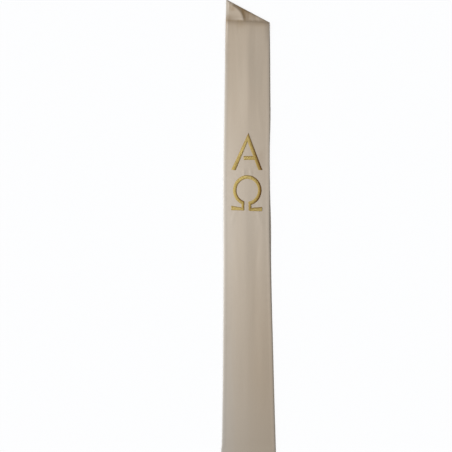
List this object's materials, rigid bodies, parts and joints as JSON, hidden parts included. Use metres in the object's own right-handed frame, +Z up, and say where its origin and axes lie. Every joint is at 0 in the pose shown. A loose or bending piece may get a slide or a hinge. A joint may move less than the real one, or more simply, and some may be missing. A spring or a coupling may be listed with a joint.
{
  "type": "clerical stole",
  "caption": "Long narrow lined satin stole, folded in half along its slanted centre-back seam and lying flat, its two halves flaring slightly towards the hem.",
  "frame": {"origin": "middle of the folded stole's box, on the surface that it lies on", "axes": "+Y runs along the stole from the hem to the neck, +Z up from the surface, +X across it to the right as seen from above"},
  "size_m": [0.1614, 1.3338, 0.0098],
  "materials": {
    "satin": "cream satin with a soft sheen"
  },
  "bodies": {
    "root": {"front_half": "satin", "back_half": "satin"}
  },
  "joints": []
}
